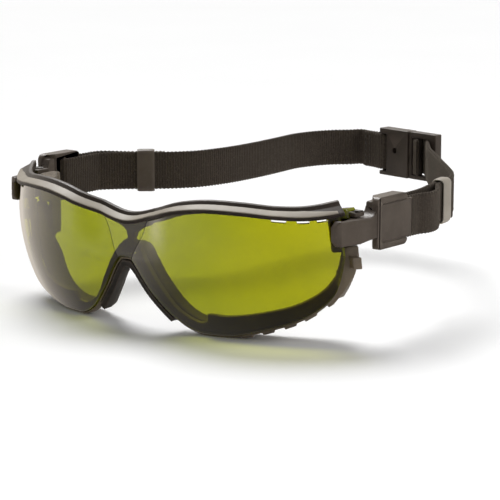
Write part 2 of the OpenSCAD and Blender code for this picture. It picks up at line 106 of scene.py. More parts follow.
# Plan line of the inner layer of each strap, from its clip to the buckle
NEAR_LINE = [(70, 67.4), (69.2, 76), (66.8, 86), (65.2, 94), (63.2, 103), (58.5, 112),
             (50.5, 121.5), (40, 133), (30, 144), (19.6, 155.4), (9.4, 166.4)]
FAR_LINE = [(-70, 67.4), (-66.5, 72), (-61, 77.3), (-55, 82.4), (-49.5, 88), (-45, 95),
            (-42.8, 103), (-41.5, 112), (-41.2, 125), (-42, 140), (-43, 153), (-41, 163),
            (-37.5, 170.2), (-32.2, 175.6)]


# ---------------------------------------------------------------- the shape of the face

def place(points):
    """Design millimetres to frame metres."""
    return (np.asarray(points, float) - (0, SEAT_Y, SEAT_Z)) * MM


def height(table, s):
    """Smooth height through the knots, the same on both sides of the face."""
    xs, ys = np.array(table, float).T
    slope = np.zeros(len(xs))
    slope[1:-1] = (ys[2:] - ys[:-2]) / (xs[2:] - xs[:-2])
    slope[-1] = (ys[-1] - ys[-2]) / (xs[-1] - xs[-2])
    x = np.minimum(np.abs(s), xs[-1])
    i = np.clip(np.searchsorted(xs, x, side="right") - 1, 0, len(xs) - 2)
    w = xs[i + 1] - xs[i]
    t = (x - xs[i]) / w
    return (ys[i] * (1 + 2 * t) * (1 - t) ** 2 + ys[i + 1] * t * t * (3 - 2 * t)
            + slope[i] * w * t * (1 - t) ** 2 - slope[i + 1] * w * t * t * (1 - t))


def brow_low(s):
    return height(BROW_LINE, s)


def lens_low(s):
    return np.maximum(0.9, height(LENS_LINE, s))


def crease(z):
    """Half-width of the flat bridge between the two domes."""
    return 3 + 0.44 * np.maximum(0, z - 24)


def eased(t):
    c = np.clip(t, 0, 1)
    return c * c * (3 - 2 * c)


def dip(s, z):
    """How far the bridge, and the domes beside it, lean back behind the two spheres."""
    return BRIDGE_DIP * eased((z - 24) / 11) * (1 - eased((np.abs(s) - 9) / 13))


def face(s, z, n):
    """Points at length s along the lens, height z and distance n in front of its outer face."""
    s, z, n = np.broadcast_arrays(np.asarray(s, float), np.asarray(z, float), np.asarray(n, float))
    a = np.abs(s)
    edge = crease(z)
    turn = (np.maximum(a, edge) - ARC_0) / LENS_R
    r = np.sqrt(LENS_R ** 2 - (z - DOME_Z) ** 2) + n - dip(np.maximum(a, edge), z)
    x = DOME_X + r * np.sin(turn)
    x = np.where(a < edge, x * a / edge, x)
    y = LENS_R - r * np.cos(turn) - math.tan(LENS_TILT) * (z - DOME_Z)
    return np.stack([np.sign(s) * x, y, z], -1)


# ---------------------------------------------------------------- mesh helpers

def new_object(name, vertices, faces):
    mesh = bpy.data.meshes.new(name)
    mesh.from_pydata([tuple(v) for v in vertices], [], [tuple(f) for f in faces])
    mesh.validate()
    thing = bpy.data.objects.new(name, mesh)
    bpy.context.scene.collection.objects.link(thing)
    return thing


def grid_faces(rows, columns, wrap, start=0, flip=False):
    """Quads over a grid of points; wrap closes each row on itself."""
    faces = []
    for i in range(rows - 1):
        for j in range(columns if wrap else columns - 1):
            k = (j + 1) % columns
            a, b = start + i * columns + j, start + i * columns + k
            quad = (a, b, b + columns, a + columns)
            faces.append(quad[::-1] if flip else quad)
    return faces


def fix_normals(thing):
    bm = bmesh.new()
    bm.from_mesh(thing.data)
    bmesh.ops.recalc_face_normals(bm, faces=bm.faces)
    bm.to_mesh(thing.data)
    bm.free()
    return thing


def loft(name, rings):
    """Closed skin over rings of points in millimetres, with flat ends."""
    rings = np.asarray(rings, float)
    rows, columns = rings.shape[:2]
    faces = grid_faces(rows, columns, True)
    faces += [tuple(range(columns)), tuple((rows - 1) * columns + j for j in range(columns))]
    return fix_normals(new_object(name, place(rings.reshape(-1, 3)), faces))


def shell(name, outer, inner):
    """Closed shell between two grids of points in millimetres."""
    rows, columns = outer.shape[:2]
    count = rows * columns
    faces = grid_faces(rows, columns, False) + grid_faces(rows, columns, False, count, True)
    loop = [j for j in range(columns)]
    loop += [i * columns + columns - 1 for i in range(1, rows)]
    loop += [(rows - 1) * columns + j for j in range(columns - 2, -1, -1)]
    loop += [i * columns for i in range(rows - 2, 0, -1)]
    for a, b in zip(loop, loop[1:] + loop[:1]):
        faces.append((a, a + count, b + count, b))
    points = np.concatenate([outer.reshape(-1, 3), inner.reshape(-1, 3)])
    return fix_normals(new_object(name, place(points), faces))


def rounded_profile(points, radius, steps=3):
    """The closed profile with each corner replaced by a small arc."""
    made = []
    count = len(points)
    for i in range(count):
        before, corner, after = (np.array(points[k % count], float) for k in (i - 1, i, i + 1))
        back, on = before - corner, after - corner
        r = min(radius, 0.42 * np.linalg.norm(back), 0.42 * np.linalg.norm(on))
        a = corner + back / np.linalg.norm(back) * r
        b = corner + on / np.linalg.norm(on) * r
        for t in np.linspace(0, 1, steps + 1):
            made.append(a * (1 - t) ** 2 + 2 * corner * t * (1 - t) + b * t * t)
    return np.array(made)


def point_values(thing, key, values):
    """Stores one number per point, for the materials to read."""
    layer = thing.data.attributes.new(key, "FLOAT", "POINT")
    layer.data.foreach_set("value", values.astype(np.float32))


def smooth(thing, degrees):
    """Smooth shading, with the edges sharper than an angle left crisp."""
    thing.data.shade_smooth()
    thing.data.set_sharp_from_angle(angle=math.radians(degrees))
    return thing


def bake(thing):
    """Applies the modifiers to the mesh."""
    bpy.context.view_layer.update()
    evaluated = thing.evaluated_get(bpy.context.evaluated_depsgraph_get())
    mesh = bpy.data.meshes.new_from_object(evaluated)
    thing.modifiers.clear()
    thing.data = mesh
    return thing


def bevelled(thing, width, segments=3, degrees=32):
    """Rounds the edges sharper than an angle, with less on narrow faces."""
    bm = bmesh.new()
    bm.from_mesh(thing.data)
    weight = bm.edges.layers.float.new("bevel_weight_edge")
    for edge in bm.edges:
        if len(edge.link_faces) != 2 or edge.calc_face_angle(0) < math.radians(degrees):
            continue
        room = min(f.calc_area() / max(e.calc_length() for e in f.edges) for f in edge.link_faces)
        edge[weight] = min(1.0, max(0.15, 0.4 * room / (width * MM)))
    bm.to_mesh(thing.data)
    bm.free()
    mod = thing.modifiers.new("bevel", "BEVEL")
    mod.width = width * MM
    mod.segments = segments
    mod.limit_method = "WEIGHT"
    mod.use_clamp_overlap = False
    bake(thing)
    smooth(thing, 40)
    mod = thing.modifiers.new("normals", "WEIGHTED_NORMAL")
    mod.keep_sharp = True
    mod.weight = 100
    return bake(thing)


def copy_of(name, node):
    """A new object with the welded mesh of a CAD node, its flat areas joined."""
    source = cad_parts[node].data
    bm = bmesh.new()
    bm.from_mesh(source)
    bmesh.ops.remove_doubles(bm, verts=bm.verts, dist=0.002 * MM)
    bmesh.ops.dissolve_degenerate(bm, edges=bm.edges, dist=0.001 * MM)
    bmesh.ops.dissolve_limit(bm, angle_limit=math.radians(0.6), verts=bm.verts, edges=bm.edges)
    bmesh.ops.recalc_face_normals(bm, faces=bm.faces)
    mesh = bpy.data.meshes.new(name)
    bm.to_mesh(mesh)
    bm.free()
    thing = bpy.data.objects.new(name, mesh)
    bpy.context.scene.collection.objects.link(thing)
    return thing


def moulded(name, node, voxel, passes):
    """A CAD node as a soft-edged moulding: remeshed finely, then smoothed."""
    thing = copy_of(name, node)
    mod = thing.modifiers.new("remesh", "REMESH")
    mod.mode = "VOXEL"
    mod.voxel_size = voxel * MM
    mod = thing.modifiers.new("smooth", "SMOOTH")
    mod.iterations = passes
    mod.factor = 0.5
    bake(thing)
    thing.data.shade_smooth()
    return thing


def finish_piece(thing, body, material, slot, *nodes):
    """Gives a piece its material and its body, and hides the CAD nodes that it stands for."""
    thing.data.materials.clear()
    thing.data.materials.append(material)
    if nodes:
        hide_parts(*nodes)
    if body:
        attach(thing, body)
    return thing


# ---------------------------------------------------------------- materials

class Shader:
    """A node material with its surface built from small calls."""

    def __init__(self, name):
        self.material = bpy.data.materials.new(name)
        self.material.use_nodes = True
        self.tree = self.material.node_tree
        self.tree.nodes.clear()
        self.out = self.tree.nodes.new("ShaderNodeOutputMaterial")

    def node(self, kind, inputs=None, **settings):
        made = self.tree.nodes.new("ShaderNode" + kind)
        for key, value in settings.items():
            setattr(made, key, value)
        for key, value in (inputs or {}).items():
            if isinstance(value, bpy.types.NodeSocket):
                self.tree.links.new(value, made.inputs[key])
            else:
                made.inputs[key].default_value = value
        return made

    def math(self, operation, a, b=0.0, clamp=False):
        return self.node("Math", {0: a, 1: b}, operation=operation, use_clamp=clamp).outputs[0]

    def mix(self, factor, a, b, blend="MIX"):
        return self.node("Mix", {0: factor, 6: a, 7: b}, data_type="RGBA", blend_type=blend).outputs[2]

    def spread(self, value, low, high, to_low=0.0, to_high=1.0):
        inputs = {"Value": value, "From Min": low, "From Max": high, "To Min": to_low, "To Max": to_high}
        return self.node("MapRange", inputs, clamp=True).outputs[0]

    def millimetres(self, stretch=(1, 1, 1)):
        at = self.node("TexCoord").outputs["Object"]
        scale = tuple(1000 * v for v in stretch)
        return self.node("Mapping", {"Vector": at, "Scale": scale}).outputs[0]

    def noise(self, scale, detail=3.0, stretch=(1, 1, 1), vector=None):
        inputs = {"Vector": vector or self.millimetres(stretch), "Scale": scale, "Detail": detail}
        return self.node("TexNoise", inputs).outputs["Fac"]

    def bump(self, height_map, depth, normal=None):
        inputs = {"Height": height_map, "Distance": depth * MM, "Strength": 1.0}
        if normal:
            inputs["Normal"] = normal
        return self.node("Bump", inputs).outputs[0]

    def edges(self, low=0.51, high=0.6):
        """1 on worn outer edges, 0 elsewhere."""
        return self.spread(self.node("NewGeometry").outputs["Pointiness"], low, high)

    def surface(self, shader):
        self.tree.links.new(shader, self.out.inputs["Surface"])
        return self.material

    def principled(self, **inputs):
        names = {"colour": "Base Color", "rough": "Roughness", "normal": "Normal", "metal": "Metallic",
                 "specular": "Specular IOR Level", "sheen": "Sheen Weight",
                 "sheen_rough": "Sheen Roughness", "sheen_tint": "Sheen Tint"}
        made = self.node("BsdfPrincipled", {names[k]: v for k, v in inputs.items()})
        return made.outputs[0]


def rgb(r, g, b):
    """An sRGB colour of 0 to 255 as linear RGBA."""
    def linear(v):
        v /= 255
        return v / 12.92 if v <= 0.04045 else ((v + 0.055) / 1.055) ** 2.4
    return (linear(r), linear(g), linear(b), 1.0)


def plastic(name, dark, light, worn, rough):
    """Moulded plastic: colour clouded between two tones, fine grain, and edges worn pale by handling."""
    sh = Shader(name)
    dark, light, worn = rgb(*dark), rgb(*light), rgb(*worn)
    cloud = sh.spread(sh.noise(0.12, 4), 0.35, 0.65)
    colour = sh.mix(cloud, dark, light)
    scuffs = sh.spread(sh.noise(0.9, 5), 0.56, 0.74, 0, 0.1)
    colour = sh.mix(scuffs, colour, worn)
    colour = sh.mix(sh.math("MULTIPLY", sh.edges(), 0.35), colour, worn)
    fine = sh.noise(7.0, 2)
    roughness = sh.spread(sh.math("ADD", fine, scuffs), 0.3, 1.1, rough - 0.06, rough + 0.1)
    normal = sh.bump(fine, 0.012)
    return sh.surface(sh.principled(colour=colour, rough=roughness, normal=normal, specular=0.4))


def elastic():
    """Ribbed woven elastic: ribs across the strap, fine cross threads with painted shade in the hollows
    between them, and a dusting of pale fibres.
    """
    sh = Shader("elastic_weave")
    run = sh.node("Attribute", attribute_name="run").outputs["Fac"]
    rise = sh.node("Attribute", attribute_name="rise").outputs["Fac"]
    turn = 2 * math.pi
    rib = sh.math("SINE", sh.math("MULTIPLY", run, turn / RIB))
    wander = sh.math("MULTIPLY", sh.noise(1.4, 3), 2.2)
    thread = sh.math("SINE", sh.math("ADD", sh.math("MULTIPLY", rise, turn / 0.42), wander))
    weave_relief_and_shade = sh.math("MULTIPLY", sh.spread(rib, -1, 1), sh.spread(thread, -1, 1))
    # painted shade: the colour is darker in the hollows between ribs and threads and lighter on their crests
    colour = sh.mix(weave_relief_and_shade, rgb(50, 43, 37), rgb(72, 63, 55))
    fibre = sh.spread(sh.noise(5.5, 5, (1, 1, 0.6)), 0.52, 0.7, 0, 0.75)
    colour = sh.mix(fibre, colour, rgb(118, 106, 92))
    cloud = sh.spread(sh.noise(0.09, 3), 0.3, 0.7, 0, 0.35)
    colour = sh.mix(cloud, colour, rgb(52, 46, 40))
    normal = sh.bump(weave_relief_and_shade, 0.06, sh.bump(sh.noise(9.0, 3), 0.05))
    return sh.surface(sh.principled(colour=colour, rough=0.88, normal=normal, specular=0.2, sheen=0.25,
                                    sheen_rough=0.45, sheen_tint=rgb(190, 178, 160)))


def foam():
    """Closed-cell foam with open pores on its skin, painted darker inside each pore as painted shade."""
    sh = Shader("closed_cell_foam")
    cells = sh.node("TexVoronoi", {"Vector": sh.millimetres(), "Scale": 1.9}).outputs["Distance"]
    fine = sh.noise(4.0, 4)
    pore_relief_and_shade = sh.spread(cells, 0.12, 0.5)
    # painted shade: the colour darkens into each pore, where the bump sinks the skin
    colour = sh.mix(pore_relief_and_shade, rgb(62, 54, 45), rgb(112, 101, 86))
    colour = sh.mix(sh.spread(fine, 0.4, 0.65, 0, 0.5), colour, rgb(132, 120, 103))
    normal = sh.bump(pore_relief_and_shade, 0.16, sh.bump(fine, 0.08))
    return sh.surface(sh.principled(colour=colour, rough=0.93, normal=normal, specular=0.15, sheen=0.2,
                                    sheen_rough=0.6))


def rubber():
    """Soft black rubber with a dusty bloom on its edges."""
    sh = Shader("nose_rubber_matte")
    cloud = sh.spread(sh.noise(0.25, 4), 0.35, 0.7)
    colour = sh.mix(cloud, rgb(40, 35, 31), rgb(56, 49, 43))
    colour = sh.mix(sh.math("MULTIPLY", sh.edges(0.505, 0.56), 0.6), colour, rgb(110, 98, 88))
    normal = sh.bump(sh.noise(9.0, 2), 0.01)
    return sh.surface(sh.principled(colour=colour, rough=0.58, normal=normal, specular=0.4))


def steel():
    """Turned steel with fine rings round the pin."""
    sh = Shader("turned_steel")
    rings = sh.noise(3.0, 2, (0.3, 0.3, 12))
    colour = sh.mix(rings, rgb(150, 148, 145), rgb(205, 203, 200))
    rough = sh.spread(rings, 0.3, 0.7, 0.22, 0.38)
    return sh.surface(sh.principled(colour=colour, rough=rough, metal=1.0, normal=sh.bump(rings, 0.008)))


def thread():
    """Twisted sewing thread, painted darker in the grooves of its twist as painted shade."""
    sh = Shader("sewing_thread")
    twist_relief_and_shade = sh.node("TexWave", {"Vector": sh.millimetres(), "Scale": 2.2, "Distortion": 0.6},
                    bands_direction="DIAGONAL").outputs["Fac"]
    # painted shade: the colour is dark in the grooves of the twist and light on its crests
    colour = sh.mix(twist_relief_and_shade, rgb(40, 35, 31), rgb(96, 87, 77))
    return sh.surface(sh.principled(colour=colour, rough=0.8, normal=sh.bump(twist_relief_and_shade, 0.03), sheen=0.2))


def tinted_lens():
    """Polished tinted sheet: each face passes a share of the light, and mirrors more of it at a slant. The
    tint carries painted light, lighter towards the temples, and painted shade, near black along the creases.
    """
    sh = Shader("green_tint")
    crease_line = sh.node("Attribute", attribute_name="crease").outputs["Fac"]
    across = sh.math("ABSOLUTE", sh.node("SeparateXYZ", {0: sh.millimetres()}).outputs[0])
    haze = sh.spread(sh.noise(0.035, 2), 0.3, 0.7, 0, 0.3)
    # painted light: the tint passes more light towards the temples and less in the middle, with random
    # patches
    tint = sh.mix(sh.math("ADD", haze, sh.spread(across, 28, 66, 0, 0.7)), (0.53, 0.56, 0.05, 1),
                  (0.68, 0.672, 0.1, 1))
    # painted shade: the groove along each crease is tinted near black
    tint = sh.mix(crease_line, tint, (0.06, 0.06, 0.02, 1))
    wave = sh.bump(sh.noise(0.05, 1), 0.05)
    fresnel = sh.node("Fresnel", {"IOR": 1.5, "Normal": wave}).outputs[0]
    mirror = sh.math("MULTIPLY", sh.math("ADD", fresnel, 0.035), 2.3, True)
    backfacing = sh.node("NewGeometry").outputs["Backfacing"]
    share = sh.math("MULTIPLY", mirror, sh.math("SUBTRACT", 1.0, backfacing))
    clear = sh.node("BsdfTransparent", {"Color": tint}).outputs[0]
    polish = {"Color": (1, 0.975, 0.95, 1), "Roughness": 0.02, "Normal": wave}
    shine = sh.node("BsdfGlossy", polish).outputs[0]
    both = sh.node("MixShader", {0: share, 1: clear, 2: shine}).outputs[0]
    rim = sh.node("Attribute", attribute_name="rim").outputs["Fac"]
    glow = sh.node("BsdfTranslucent", {"Color": (0.36, 0.38, 0.02, 1)}).outputs[0]
    edge = sh.math("MULTIPLY", rim, 0.8)
    return sh.surface(sh.node("MixShader", {0: edge, 1: both, 2: glow}).outputs[0])


# ---------------------------------------------------------------- lens, brow and seal

def lens_grid(columns, rows, n):
    """Grid of points over the lens, with columns that follow the crease between dome and bridge."""
    q = columns[:, None]
    t = rows[None, :]
    bend, free = 6.0, 24.0
    s = np.broadcast_to(q, (len(columns), len(rows))).copy()
    for _ in range(8):
        z = lens_low(s) * (1 - t) + lens_top(s) * t
        edge = crease(z)
        a = np.abs(q)
        inside = a / bend * edge
        outside = edge + (a - bend) / (free - bend) * (free - edge)
        s = np.sign(q) * np.where(a <= bend, inside, np.where(a < free, outside, a))
    groove = np.exp(-((np.abs(q) - bend) / 0.14) ** 2) * np.ones_like(t)
    return face(s, z, n - 0.1 * groove), groove


def lens_top(s):
    """Upper edge of the lens: hidden under the brow, but cut lower at the vents."""
    a = np.abs(s)
    cut = np.zeros_like(a)
    for low, high in VENTS:
        cut = np.maximum(cut, np.clip(np.minimum(a - low, high - a) / 0.45, 0, 1))
    return brow_low(s) + 1 - 1.9 * cut


def make_lens(material):
    near_crease = [5.5, 5.7, 5.85, 6.0, 6.15, 6.3, 6.5]
    vent_steps = [v + d for pair in VENTS for v in pair for d in (-0.45, -0.22, 0, 0.22, 0.45)]
    right = sorted(set(list(np.arange(0, 5.3, 0.6)) + near_crease + list(np.arange(7, 82, 0.75))
                       + vent_steps + [82.1, LENS_HALF]))
    columns = np.array([-v for v in right[:0:-1]] + right)
    rows = np.linspace(0, 1, 46)
    outer, groove = lens_grid(columns, rows, 0.0)
    inner, _ = lens_grid(columns, rows, -LENS_T)
    thing = shell("lens_shield", outer, inner)
    # the crease attribute marks the grooves that the lens shader tints near black as painted shade
    point_values(thing, "crease", np.concatenate([groove.reshape(-1), np.zeros(groove.size)]))
    edge_faces = np.zeros_like(groove)
    edge_faces[0] = edge_faces[-1] = 1
    edge_faces[:, 0] = 0.2
    point_values(thing, "rim", np.tile(edge_faces.reshape(-1), 2))
    bevelled(thing, 0.3, 3, 50)
    return finish_piece(thing, "front", material, "tinted_lens")


def make_lens_tabs(material, side):
    """Small hook at the temple end of the lens, whose lip turns back over the lug."""
    s = np.linspace(LENS_HALF - 0.6, LENS_HALF + 3.5, 9) * side
    levels = np.array([[42.15, 43.2, 44.0, 44.5]])
    reach = np.array([0.5, 1.6, 2.8, 4.0])[None, :, None]
    wall = face(s[:, None], levels, -0.9)
    lip = wall[:, -1:] + reach * np.array([0.0, 1.0, 0.04])
    outer = np.concatenate([wall + np.array([0, -0.7, 0]), lip + np.array([0, -0.4, 0.55])], axis=1)
    inner = np.concatenate([wall + np.array([0, 0.7, -0.1]), lip + np.array([0, 0.4, -0.55])], axis=1)
    thing = shell("lens_tab_" + ("left" if side > 0 else "right"), outer, inner)
    point_values(thing, "rim", np.full(len(thing.data.vertices), 0.8))
    bevelled(thing, 0.2, 2, 50)
    return finish_piece(thing, "front", material, "tinted_lens")


def brow_rise(s):
    return 0.6 * np.clip((np.abs(s) - 60) / 20, 0, 1)


def swept_on_face(name, stations, profile_at, radius):
    """Loft along the lens of a profile of (distance in front, height above the brow line)."""
    rings = []
    for s in stations:
        profile = rounded_profile(profile_at(s), radius)
        rings.append(face(s, brow_low(s) + profile[:, 1], profile[:, 0]))
    return loft(name, rings)


def shelf(s, n):
    """Height of the brow's sloping shelf at distance n in front."""
    return 1.25 + (LIP_OUT + 0.1 - n) / (LIP_OUT + 1.8) * (1.35 + brow_rise(s))


def brow_profile(s):
    up = brow_rise(s)
    return [(LIP_OUT - 0.1, GAP), (LIP_OUT + 0.05, 0.5), (LIP_OUT - 0.12, 0.56), (LIP_OUT - 0.12, 0.68),
            (LIP_OUT + 0.1, 0.75), (LIP_OUT + 0.1, 1.25), (-1.7, 2.6 + up), (-2.3, 3.85 + up),
            (-3.6, BROW_H + up), (-4.2, 3.0), (-4.2, GAP), (-LENS_T - GAP, GAP), (-LENS_T - GAP, 1.2),
            (GAP, 1.2), (GAP, GAP)]


def stripe_profile(s):
    taper = np.clip((84.5 - abs(s)) / 14, 0.12, 1)
    back = -1.45 * taper + 0.9 * (1 - taper)
    return [(LIP_OUT + 0.02, 1.32), (LIP_OUT - 0.02, 1.6), (back + 0.1, shelf(s, back) + 0.3),
            (back - 0.04, shelf(s, back) + 0.05)]


def make_brow(body_material, stripe_material):
    stations = np.linspace(-BROW_HALF, BROW_HALF, 225)
    bar = swept_on_face("brow_bar", stations, brow_profile, 0.3)
    bevel_ends(bar)
    smooth(bar, 42)
    finish_piece(bar, "front", body_material, "frame_plastic", "brow_frame")
    stripe = swept_on_face("brow_stripe", stations[3:-3], stripe_profile, 0.09)
    smooth(stripe, 42)
    finish_piece(stripe, "front", stripe_material, "grey_inlay", "brow_inlay")


def bevel_ends(thing):
    """Softens the rims of the two flat ends of a loft."""
    bm = bmesh.new()
    bm.from_mesh(thing.data)
    ends = [f for f in bm.faces if len(f.verts) > 4]
    rims = [e for f in ends for e in f.edges]
    bmesh.ops.bevel(bm, geom=rims, offset=0.25 * MM, segments=3, affect="EDGES", profile=0.5)
    bm.to_mesh(thing.data)
    bm.free()


# ---------------------------------------------------------------- straps

FLOW_STEPS = 14


def flow(points):
    """Smooth plan curve through points, with FLOW_STEPS steps between neighbours."""
    p = np.array(points, float)
    made = []
    for i in range(len(p) - 1):
        a, b, c, d = p[max(i - 1, 0)], p[i], p[i + 1], p[min(i + 2, len(p) - 1)]
        for k in range(FLOW_STEPS):
            t = k / FLOW_STEPS
            made.append(0.5 * (2 * b + (c - a) * t + (2 * a - 5 * b + 4 * c - d) * t * t
                               + (3 * b - a - 3 * c + d) * t ** 3))
    made.append(p[-1])
    return made


def arc(centre, radius, start, end, count=14):
    """Points on an arc between two angles in degrees."""
    turns = np.radians(np.linspace(start, end, count))
    return [(centre[0] + radius * math.cos(t), centre[1] + radius * math.sin(t)) for t in turns]


def beside(at, turn, along, across):
    """Point along and across a direction turned by degrees."""
    t = math.radians(turn)
    return (at[0] + along * math.cos(t) - across * math.sin(t),
            at[1] + along * math.sin(t) + across * math.cos(t))


def resampled(points, step):
    """The curve as evenly spaced points, with the length run at each."""
    p = np.array(points, float)
    keep = np.concatenate([[True], np.linalg.norm(np.diff(p, axis=0), axis=1) > 1e-6])
    p = p[keep]
    run = np.concatenate([[0], np.cumsum(np.linalg.norm(np.diff(p, axis=0), axis=1))])
    at = np.linspace(0, run[-1], int(run[-1] / step) + 1)
    return np.stack([np.interp(at, run, p[:, 0]), np.interp(at, run, p[:, 1])], 1), at


def strap(name, points, start_run=0.0):
    """Ribbed elastic that follows a plan curve: a closed skin with ribs across and a beaded selvedge."""
    line, run = resampled(points, RIB / 6)
    ahead = np.gradient(line, axis=0)
    for _ in range(6):
        ahead[1:-1] = (ahead[:-2] + ahead[1:-1] * 2 + ahead[2:]) / 4
    ahead /= np.linalg.norm(ahead, axis=1)[:, None]
    side = np.stack([-ahead[:, 1], ahead[:, 0]], 1)
    phase = 2 * math.pi * (run + start_run) / RIB
    rib = 0.5 + 0.5 * np.cos(phase)
    bead = 0.5 + 0.5 * np.cos(phase / 1.5)
    half = STRAP_T / 2
    levels = [0, 0.35, 1.0, 1.9, 3.6, 5.3, 7.0, 8.7, 10.4, 12.1, 13.0, 13.65, STRAP_W]
    swell = [0.35, 0.8, 1.0, 0.93, 0.96, 0.95, 0.96, 0.95, 0.96, 0.93, 1.0, 0.8, 0.35]
    outer = [(half * w, z) for w, z in zip(swell, levels)]
    ring = outer + [(-w, z) for w, z in outer[::-1]]
    rings, rises = [], []
    for w, z in ring:
        edge = z < 0.5 or z > STRAP_W - 0.5
        out = w + np.sign(w) * (-0.1 + 0.1 * (bead if edge else rib))
        lift = (0.22 * bead - 0.12) * (1 if z > STRAP_W / 2 else -1) if edge else 0
        points_3d = np.stack([line[:, 0] + side[:, 0] * out, line[:, 1] + side[:, 1] * out,
                              np.full(len(run), STRAP_LOW + z) + lift], 1)
        rings.append(points_3d)
        rises.append(np.full(len(run), z))
    rings = np.array(rings).transpose(1, 0, 2)
    thing = loft(name, rings)
    point_values(thing, "run", np.repeat(run + start_run, len(ring)))
    point_values(thing, "rise", np.array(rises).T.reshape(-1))
    smooth(thing, 60)
    return thing


def clip_loop(side):
    """The fold of the strap round a clip's bar, from the outer leg to the inner one."""
    x, y = BAR_AT
    outer = [(x + BEND_R, 66.3), (x + BEND_R, 58)]
    turn = arc((x, y), BEND_R, 0, -180)
    inner = [(x - BEND_R, 58), (x - BEND_R, 66.3)]
    return [(side * a, b) for a, b in outer + turn + inner]


def local(along, across):
    """Point along and across the buckle."""
    return beside(BUCKLE_AT, BUCKLE_TURN, along, across)


def make_straps(material):
    """The two lengths of elastic, unbroken over their folds."""
    near_tail = [(74.2, 67.4), (75.6, 73), (74, 79.5), (69.9, 85.6)]
    near_tail += [beside(*KEEPER_NEAR, along, -0.86) for along in (-5.8, 0, 7)]
    overlap = FLOW_STEPS - 4
    front = flow(near_tail)[::-1] + clip_loop(1) + flow(NEAR_LINE[:5])[:-overlap]
    piece = strap("strap_short_front", front)
    finish_piece(piece, None, material, "elastic", "strap_end_left", "strap_short_tail", "strap_short")
    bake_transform(piece)

    bar = local(PLUG_BAR, 0)
    approach = NEAR_LINE[3:-1]
    heading = math.degrees(math.atan2(bar[1] - approach[-1][1], bar[0] - approach[-1][0]))
    roll = arc(bar, BEND_R, heading - 90, heading + 100, 20)
    last = roll[-1]
    tail = [beside(last, heading + 190, along, 0) for along in (1.5, 3.2)]
    rear = flow(approach + [beside(roll[0], heading + 180, 5, 0)]) + roll + tail
    piece = strap("strap_short_rear", rear, 0.5)
    finish_piece(piece, None, material, "elastic", "strap_buckle_end")
    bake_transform(piece)

    far_tail = [(-74.2, 67.4), (-73.2, 71.6), (-69.6, 74.2)]
    far_tail += [beside(*KEEPER_FAR, along, 0.9) for along in (-6.2, 0, 7)]
    fold = [local(-14, 0.9), local(-9, 0.8), local(-4, 0.95), local(-0.8, 1.65)]
    back = [local(-0.8, -1.65), local(-4, -0.95), local(-9.8, -0.8)]
    round_bar = [local(0.9 + 1.75 * math.sin(t), 1.75 * math.cos(t)) for t in np.linspace(0, math.pi, 9)]
    far = flow(far_tail)[::-1] + clip_loop(-1) + flow(FAR_LINE + fold) + round_bar + flow(back)
    piece = strap("strap_long_whole", far)
    finish_piece(piece, None, material, "elastic", "strap_end_right", "strap_long_tail", "strap_long")
    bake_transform(piece)


def make_keeper(name, spec, body, material, slot, node):
    """Rounded band round both layers of strap."""
    at, turn = spec
    half_w, half_h = STRAP_T + 0.3, STRAP_W / 2 + 0.25
    wall = 0.75

    def loop(w, h, r):
        corners = [(w - r, h - r, 0), (-w + r, h - r, 90), (-w + r, -h + r, 180), (w - r, -h + r, 270)]
        return [(cx + r * math.cos(math.radians(a0 + a)), cy + r * math.sin(math.radians(a0 + a)))
                for cx, cy, a0 in corners for a in (0, 18, 36, 54, 72, 90)]
    outer = loop(half_w + wall, half_h + wall, 1.9)
    inner = loop(half_w, half_h, 1.25)
    count = len(outer)
    # position along the keeper, and how far each rim is rounded towards the other surface
    rims = [(-0.5, 0.28), (-0.42, 0.098), (-0.3, 0.0), (0.3, 0.0), (0.42, 0.098), (0.5, 0.28)]
    rings = []
    for stations, start, towards in ((rims, outer, inner), (rims[::-1], inner, outer)):
        for along, pull in stations:
            ring = []
            for (w0, h0), (w1, h1) in zip(start, towards):
                x, y = beside(at, turn, along * KEEPER_LEN, w0 + (w1 - w0) * pull)
                ring.append((x, y, STRAP_LOW + STRAP_W / 2 + h0 + (h1 - h0) * pull))
            rings.append(ring)
    rings = np.array(rings)
    faces = grid_faces(len(rings), count, True)
    last = (len(rings) - 1) * count
    for j in range(count):
        k = (j + 1) % count
        faces.append((last + j, last + k, k, j))
    thing = fix_normals(new_object(name, place(rings.reshape(-1, 3)), faces))
    smooth(thing, 50)
    return finish_piece(thing, body, material, slot, node)


def make_stitches(material):
    """Two rows of lock stitches on each face of the sewn fold."""
    vertices, faces = [], []
    for along in (-8.6, -6.4):
        for side in (-1, 1):
            for k in range(5):
                low = STRAP_LOW + 1.3 + 2.45 * k
                for i in range(9):
                    t = i / 8
                    r = 0.17 * math.sin(math.pi * (0.08 + 0.84 * t)) ** 0.4
                    sink = 0.32 * (2 * t - 1) ** 4
                    x, y = local(along, side * (1.62 - sink))
                    for j in range(8):
                        a = 2 * math.pi * j / 8
                        vertices.append((x + r * math.cos(a), y + r * math.sin(a), low + 1.8 * t))
                base = len(vertices) - 72
                faces += grid_faces(9, 8, True, base)
                faces += [tuple(range(base, base + 8)), tuple(range(base + 64, base + 72))]
    thing = fix_normals(new_object("fold_stitches", place(vertices), faces))
    smooth(thing, 60)
    return finish_piece(thing, "front", material, "thread", "strap_stitching")


# ---------------------------------------------------------------- the whole object

